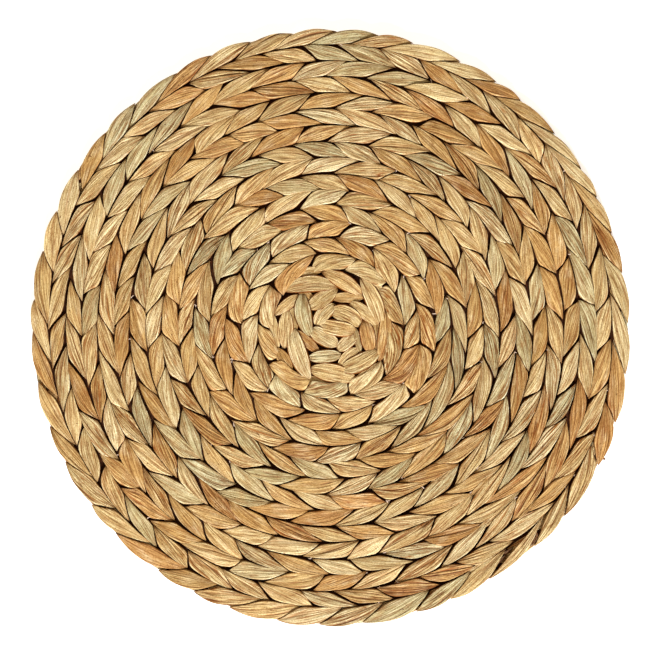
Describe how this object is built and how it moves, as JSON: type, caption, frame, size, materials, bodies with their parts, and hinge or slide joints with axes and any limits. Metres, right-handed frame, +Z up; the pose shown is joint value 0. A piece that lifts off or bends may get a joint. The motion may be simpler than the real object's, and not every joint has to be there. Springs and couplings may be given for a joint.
{
  "type": "round water hyacinth placemat",
  "caption": "Round flat placemat twined from water hyacinth stalks in chevron rounds, with a gently scalloped rim.",
  "frame": {"origin": "on the surface the mat rests on, at the middle of its outline's box", "axes": "+Z up out of the mat's upper side, +Y towards the top of the picture, +X towards its right"},
  "size_m": [0.3808, 0.3794, 0.009],
  "materials": {
    "hyacinth": "dry satin plant fibre, lightly ribbed lengthwise"
  },
  "bodies": {
    "root": {"woven_mat": "hyacinth"}
  },
  "joints": []
}
